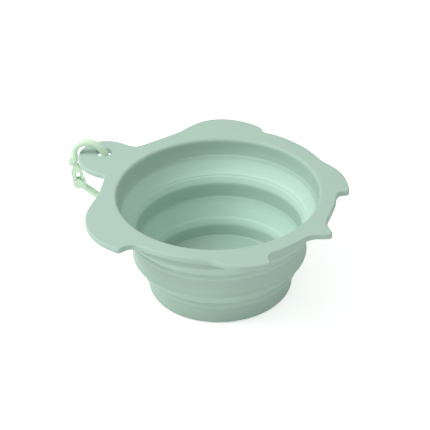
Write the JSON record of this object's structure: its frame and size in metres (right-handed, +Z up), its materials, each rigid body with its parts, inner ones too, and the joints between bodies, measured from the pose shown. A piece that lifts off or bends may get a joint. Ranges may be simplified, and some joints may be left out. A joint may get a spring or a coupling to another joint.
{
  "type": "collapsible travel bowl",
  "caption": "Collapsible silicone travel bowl with a turtle-shaped rim flange, folding tiers and a plastic carabiner clip through the head.",
  "frame": {"origin": "centre of the underside that the open bowl stands on", "axes": "+Z up along the bowl's axis, -X towards the turtle's head and the clip"},
  "size_m": [0.1753, 0.1498, 0.0716],
  "materials": {
    "silicone": "matte, sage green",
    "clip_plastic": "semi-gloss, pale mint"
  },
  "bodies": {
    "base": {"base_cup": "silicone", "lower_fold": "silicone"},
    "middle": {"middle_band": "silicone", "upper_fold": "silicone"},
    "rim": {"rim_band": "silicone", "rim_flange": "silicone"},
    "clip": {"clip_body": "clip_plastic", "gate_pin": "clip_plastic"},
    "gate": {"clip_gate": "clip_plastic", "gate_spring": "clip_plastic"}
  },
  "joints": [
    {"name": "lower_fold", "type": "slide", "parent": "base", "child": "middle", "axis": [0, 0, 1], "range_m": [-0.0236, 0], "deforming": ["lower_fold"]},
    {"name": "upper_fold", "type": "slide", "parent": "middle", "child": "rim", "axis": [0, 0, 1], "range_m": [-0.021, 0], "deforming": ["upper_fold"]},
    {"name": "clip_swing", "type": "hinge", "parent": "rim", "child": "clip", "pos_m": [-0.08035, 0.00301, 0.06065], "axis": [-0.8387, -0.5446, 0], "range_deg": [-35, 35]},
    {"name": "gate_hinge", "type": "hinge", "parent": "clip", "child": "gate", "pos_m": [-0.09394, -0.00581, 0.04185], "axis": [-0.5446, 0.8387, 0], "range_deg": [0, 28], "stiffness_Nm_per_rad": 0.06, "springref_deg": -14.32, "deforming": ["gate_spring"]}
  ]
}
